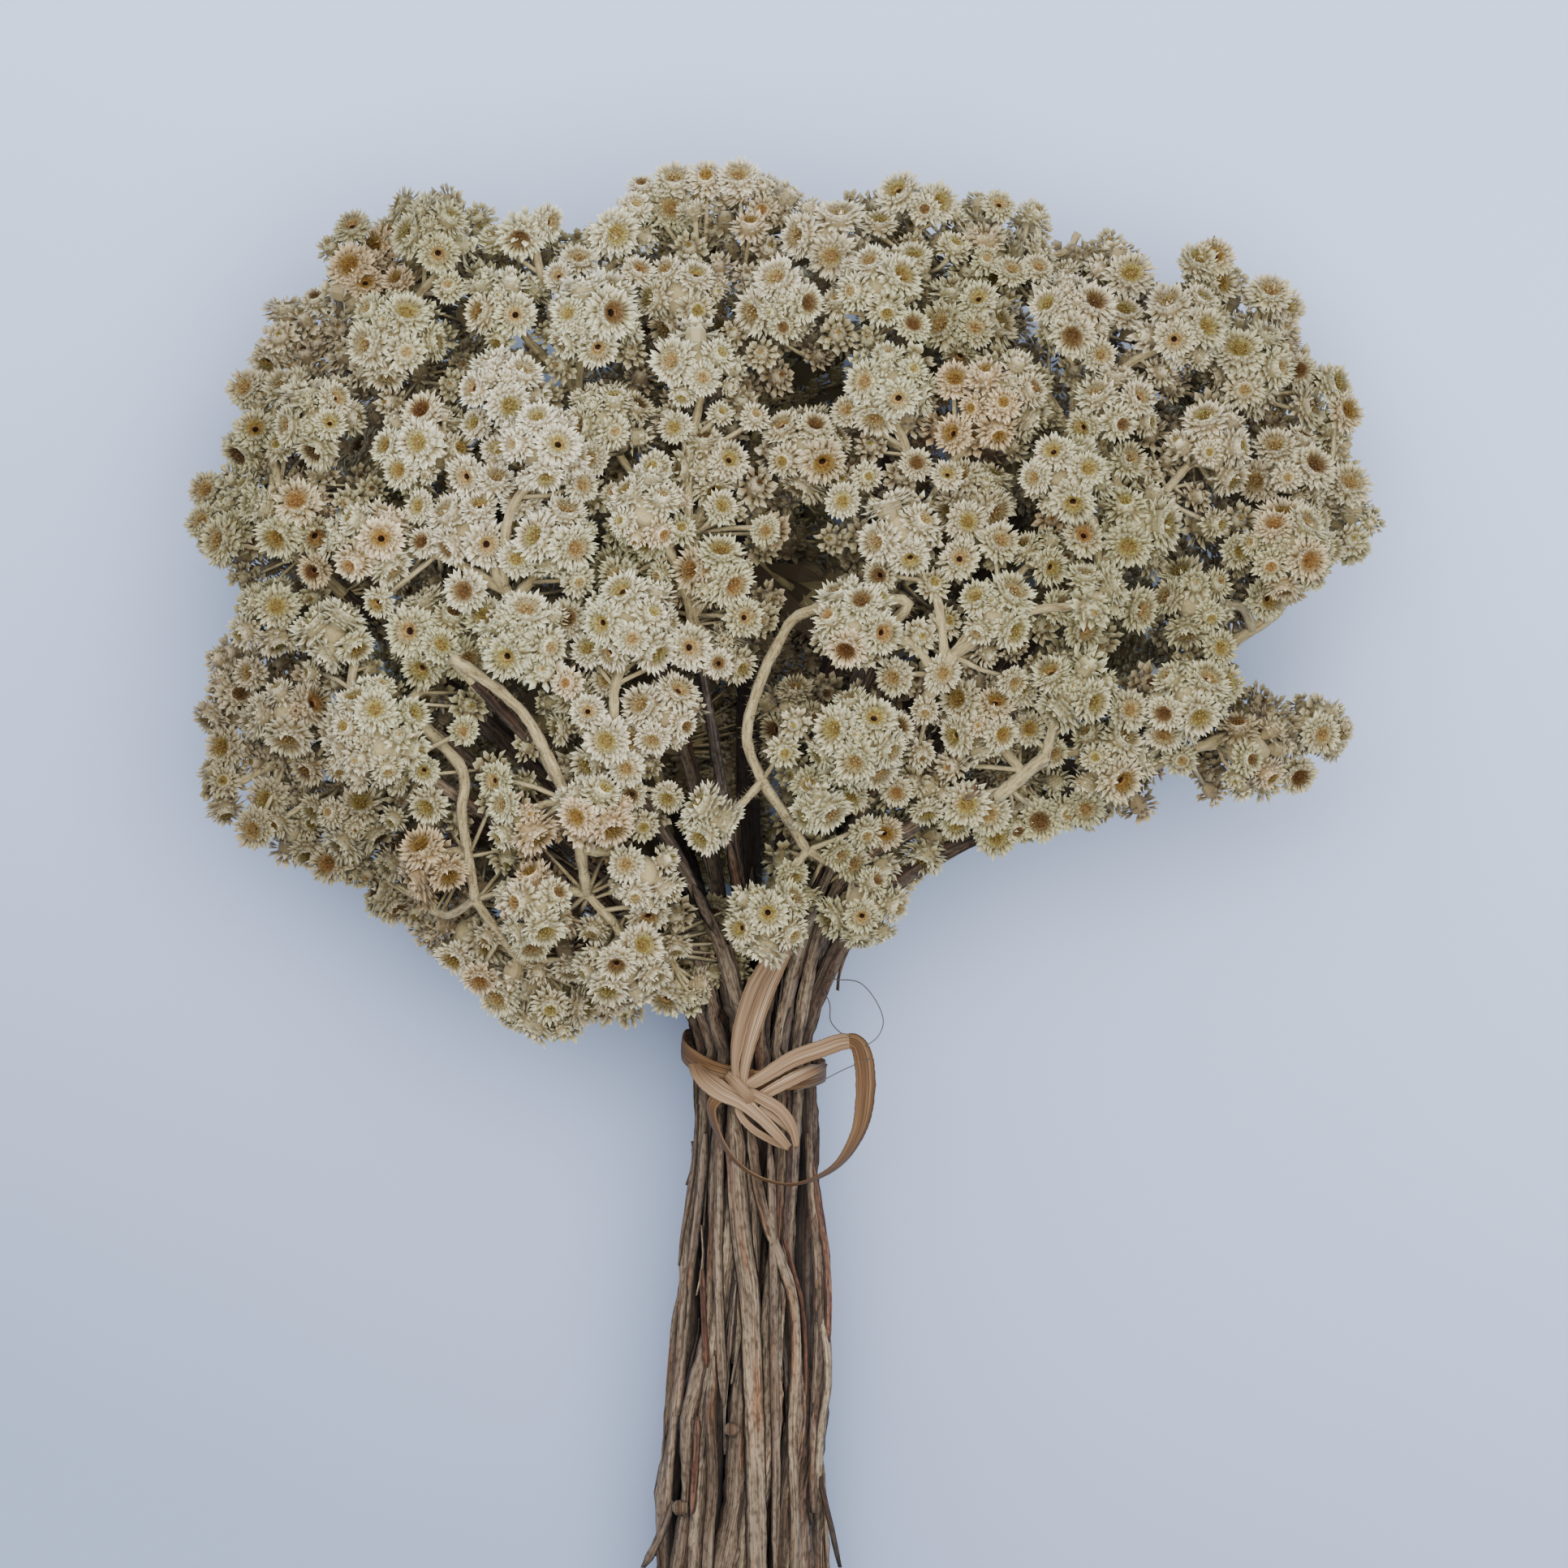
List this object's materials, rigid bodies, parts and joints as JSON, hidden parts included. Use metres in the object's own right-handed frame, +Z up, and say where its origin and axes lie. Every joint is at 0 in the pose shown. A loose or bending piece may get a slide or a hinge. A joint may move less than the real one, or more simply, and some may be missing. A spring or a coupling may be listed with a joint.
{
  "type": "dried edelweiss bunch",
  "caption": "Cut bunch of dried woolly flower sprays with small papery heads on branching stalks, its straight woody stems tied with a looped raffia strip, lying down.",
  "frame": {"origin": "on the surface the bunch lies on, under the middle of its outline", "axes": "+Y from the cut stem ends to the crown of flowers, +Z up, away from the surface"},
  "size_m": [0.1978, 0.246, 0.0868],
  "materials": {
    "stem_wood": "matte, dry and fibrous",
    "flower_wool": "matte, papery and woolly",
    "raffia": "satin leaf strip"
  },
  "bodies": {
    "root": {"corymb_back_low_right": "flower_wool", "corymb_bright_left": "flower_wool", "corymb_centre_right": "flower_wool", "corymb_corner_low_right": "flower_wool", "corymb_corner_right": "flower_wool", "corymb_far_left": "flower_wool", "corymb_front_left": "flower_wool", "corymb_front_right": "flower_wool", "corymb_hanging_centre": "flower_wool", "corymb_hanging_inner": "flower_wool", "corymb_hanging_left": "flower_wool", "corymb_inner_left": "flower_wool", "corymb_inner_right": "flower_wool", "corymb_left": "flower_wool", "corymb_low_centre": "flower_wool", "corymb_low_left": "flower_wool", "corymb_low_right": "flower_wool", "corymb_right": "flower_wool", "corymb_top_centre": "flower_wool", "corymb_top_centre_left": "flower_wool", "corymb_top_left": "flower_wool", "corymb_top_right": "flower_wool", "corymb_under_left": "flower_wool", "corymb_under_low": "flower_wool", "corymb_under_right": "flower_wool", "corymb_under_top": "flower_wool", "corymb_under_upper_left": "flower_wool", "corymb_under_upper_right": "flower_wool", "corymb_upper_right": "flower_wool", "raffia_band": "raffia", "raffia_bow": "raffia", "stem_back_low_right": "stem_wood", "stem_bright_left": "stem_wood", "stem_centre_right": "stem_wood", "stem_corner_low_right": "stem_wood", "stem_corner_right": "stem_wood", "stem_far_left": "stem_wood", "stem_front_left": "stem_wood", "stem_front_right": "stem_wood", "stem_hanging_centre": "stem_wood", "stem_hanging_inner": "stem_wood", "stem_hanging_left": "stem_wood", "stem_inner_left": "stem_wood", "stem_inner_right": "stem_wood", "stem_left": "stem_wood", "stem_low_centre": "stem_wood", "stem_low_left": "stem_wood", "stem_low_right": "stem_wood", "stem_right": "stem_wood", "stem_top_centre": "stem_wood", "stem_top_centre_left": "stem_wood", "stem_top_left": "stem_wood", "stem_top_right": "stem_wood", "stem_under_left": "stem_wood", "stem_under_low": "stem_wood", "stem_under_right": "stem_wood", "stem_under_top": "stem_wood", "stem_under_upper_left": "stem_wood", "stem_under_upper_right": "stem_wood", "stem_upper_right": "stem_wood"}
  },
  "joints": []
}
